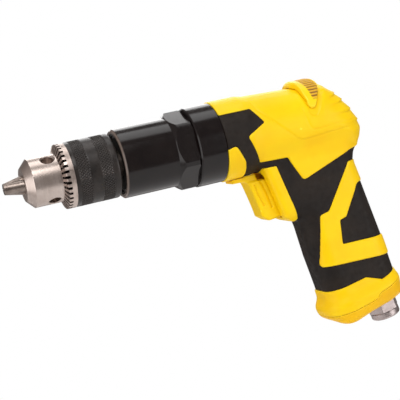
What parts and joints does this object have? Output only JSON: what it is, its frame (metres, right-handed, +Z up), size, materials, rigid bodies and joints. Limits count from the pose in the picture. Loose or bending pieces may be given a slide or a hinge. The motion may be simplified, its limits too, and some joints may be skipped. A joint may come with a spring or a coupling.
{
  "type": "pistol-grip air drill",
  "caption": "Reversible pistol-grip air drill with a geared keyed chuck, black gear case, yellow housing with soft overmould, trigger and a hose inlet in the foot.",
  "frame": {"origin": "middle of the gear case's round nose on the spindle axis, where a side handle clamps", "axes": "+X along the spindle axis from the chuck to the rear, +Z up, the grip towards -Z, +Y to the tool's right"},
  "size_m": [0.2596, 0.0552, 0.1779],
  "materials": {
    "yellow_plastic": "moulded, satin",
    "yellow_parts": "moulded, satin",
    "black_rubber": "soft matt overmould",
    "chuck_steel": "turned and ground",
    "gloss_black": "gloss black over turned steel",
    "gear_steel": "ground",
    "vane_composite": "laminate",
    "seal_rubber": "moulded",
    "felt": "felt",
    "brass": "turned",
    "inlet_steel": "turned, nickel plated"
  },
  "bodies": {
    "housing": {"pistol_housing": "yellow_plastic", "grip_rubber": "black_rubber", "exhaust_cap": "yellow_plastic", "cap_screws": "gear_steel", "muffler_felt": "felt", "motor_collar": "gloss_black", "gear_case": "gloss_black", "ring_gear": "gear_steel", "front_end_plate": "gear_steel", "rear_end_plate": "gear_steel", "motor_cylinder": "gear_steel", "spindle_bearing_front_outer": "gear_steel", "spindle_bearing_rear_outer": "gear_steel", "rotor_bearing_front_outer": "gear_steel", "rotor_bearing_rear_outer": "gear_steel", "retaining_ring": "gear_steel", "dust_seal": "seal_rubber", "detent_ball": "gear_steel", "detent_spring": "gear_steel", "trigger_bushing": "brass", "valve_seat": "brass", "throttle_spring": "gear_steel", "inlet_bushing": "inlet_steel", "inlet_screen": "brass"},
    "spindle": {"spindle": "gear_steel", "chuck_body": "chuck_steel", "chuck_screw": "gear_steel", "stage_2_pins": "gear_steel", "spindle_bearing_front_inner": "gear_steel", "spindle_bearing_front_balls": "gear_steel", "spindle_bearing_rear_inner": "gear_steel", "spindle_bearing_rear_balls": "gear_steel"},
    "sleeve": {"chuck_sleeve": "chuck_steel", "chuck_nut": "gear_steel"},
    "jaw_1": {"jaw_1": "chuck_steel"},
    "jaw_2": {"jaw_2": "chuck_steel"},
    "jaw_3": {"jaw_3": "chuck_steel"},
    "carrier": {"stage_1_carrier": "gear_steel", "stage_1_pins": "gear_steel"},
    "rotor": {"rotor": "gear_steel", "rotor_vanes": "vane_composite", "rotor_bearing_front_inner": "gear_steel", "rotor_bearing_front_balls": "gear_steel", "rotor_bearing_rear_inner": "gear_steel", "rotor_bearing_rear_balls": "gear_steel"},
    "lever": {"reverse_lever": "yellow_parts", "lever_pin": "gear_steel", "reverse_valve": "brass"},
    "trigger": {"trigger": "yellow_parts", "trigger_rod": "gear_steel"},
    "throttle": {"throttle_valve": "brass"},
    "stage_1_planet_1": {"stage_1_planet_1": "gear_steel"},
    "stage_1_planet_2": {"stage_1_planet_2": "gear_steel"},
    "stage_1_planet_3": {"stage_1_planet_3": "gear_steel"},
    "stage_2_planet_1": {"stage_2_planet_1": "gear_steel"},
    "stage_2_planet_2": {"stage_2_planet_2": "gear_steel"},
    "stage_2_planet_3": {"stage_2_planet_3": "gear_steel"}
  },
  "joints": [
    {"name": "spindle_spin", "type": "hinge", "parent": "housing", "child": "spindle", "pos_m": [0, 0, 0], "axis": [1, 0, 0], "continuous": true},
    {"name": "carrier_spin", "type": "hinge", "parent": "housing", "child": "carrier", "pos_m": [0.028, 0, 0], "axis": [1, 0, 0], "continuous": true},
    {"name": "rotor_spin", "type": "hinge", "parent": "housing", "child": "rotor", "pos_m": [0.065, 0, 0], "axis": [1, 0, 0], "continuous": true},
    {"name": "stage_2_planet_1_spin", "type": "hinge", "parent": "spindle", "child": "stage_2_planet_1", "pos_m": [0.0219, 0, 0.01125], "axis": [1, 0, 0], "continuous": true},
    {"name": "stage_2_planet_2_spin", "type": "hinge", "parent": "spindle", "child": "stage_2_planet_2", "pos_m": [0.0219, -0.00974, -0.00562], "axis": [1, 0, 0], "continuous": true},
    {"name": "stage_2_planet_3_spin", "type": "hinge", "parent": "spindle", "child": "stage_2_planet_3", "pos_m": [0.0219, 0.00974, -0.00562], "axis": [1, 0, 0], "continuous": true},
    {"name": "stage_1_planet_1_spin", "type": "hinge", "parent": "carrier", "child": "stage_1_planet_1", "pos_m": [0.0338, 0, 0.01125], "axis": [1, 0, 0], "continuous": true},
    {"name": "stage_1_planet_2_spin", "type": "hinge", "parent": "carrier", "child": "stage_1_planet_2", "pos_m": [0.0338, -0.00974, -0.00562], "axis": [1, 0, 0], "continuous": true},
    {"name": "stage_1_planet_3_spin", "type": "hinge", "parent": "carrier", "child": "stage_1_planet_3", "pos_m": [0.0338, 0.00974, -0.00562], "axis": [1, 0, 0], "continuous": true},
    {"name": "sleeve_turn", "type": "hinge", "parent": "spindle", "child": "sleeve", "pos_m": [-0.04, 0, 0], "axis": [1, 0, 0], "range_deg": [0, 4932]},
    {"name": "jaw_1_slide", "type": "slide", "parent": "spindle", "child": "jaw_1", "axis": [0.9724, 0.1082, 0.2069], "range_m": [0, 0.0275]},
    {"name": "jaw_2_slide", "type": "slide", "parent": "spindle", "child": "jaw_2", "axis": [0.9724, -0.2332, -0.0098], "range_m": [0, 0.0275]},
    {"name": "jaw_3_slide", "type": "slide", "parent": "spindle", "child": "jaw_3", "axis": [0.9724, 0.1251, -0.1971], "range_m": [0, 0.0275]},
    {"name": "reverse_lever_turn", "type": "hinge", "parent": "housing", "child": "lever", "pos_m": [0.115, 0, 0], "axis": [1, 0, 0], "range_deg": [-12, 12]},
    {"name": "trigger_pull", "type": "slide", "parent": "housing", "child": "trigger", "axis": [1, 0, 0], "range_m": [0, 0.006], "stiffness_N_per_m": 1500, "springref_m": -0.006},
    {"name": "throttle_tilt", "type": "hinge", "parent": "housing", "child": "throttle", "pos_m": [0.1095, 0, -0.056], "axis": [0, 1, 0], "range_deg": [0, 20.1], "deforming": ["throttle_spring"]}
  ],
  "couplings": [
    {"joint": "carrier_spin", "follows": "spindle_spin", "ratio": 5},
    {"joint": "rotor_spin", "follows": "spindle_spin", "ratio": 25},
    {"joint": "stage_2_planet_1_spin", "follows": "spindle_spin", "ratio": -2.6667},
    {"joint": "stage_2_planet_2_spin", "follows": "spindle_spin", "ratio": -2.6667},
    {"joint": "stage_2_planet_3_spin", "follows": "spindle_spin", "ratio": -2.6667},
    {"joint": "stage_1_planet_1_spin", "follows": "spindle_spin", "ratio": -13.333},
    {"joint": "stage_1_planet_2_spin", "follows": "spindle_spin", "ratio": -13.333},
    {"joint": "stage_1_planet_3_spin", "follows": "spindle_spin", "ratio": -13.333},
    {"joint": "jaw_1_slide", "follows": "sleeve_turn", "m_per_rad": 0.00031831},
    {"joint": "jaw_2_slide", "follows": "sleeve_turn", "m_per_rad": 0.00031831},
    {"joint": "jaw_3_slide", "follows": "sleeve_turn", "m_per_rad": 0.00031831},
    {"joint": "throttle_tilt", "follows": "trigger_pull", "rad_per_m": 58.178}
  ]
}
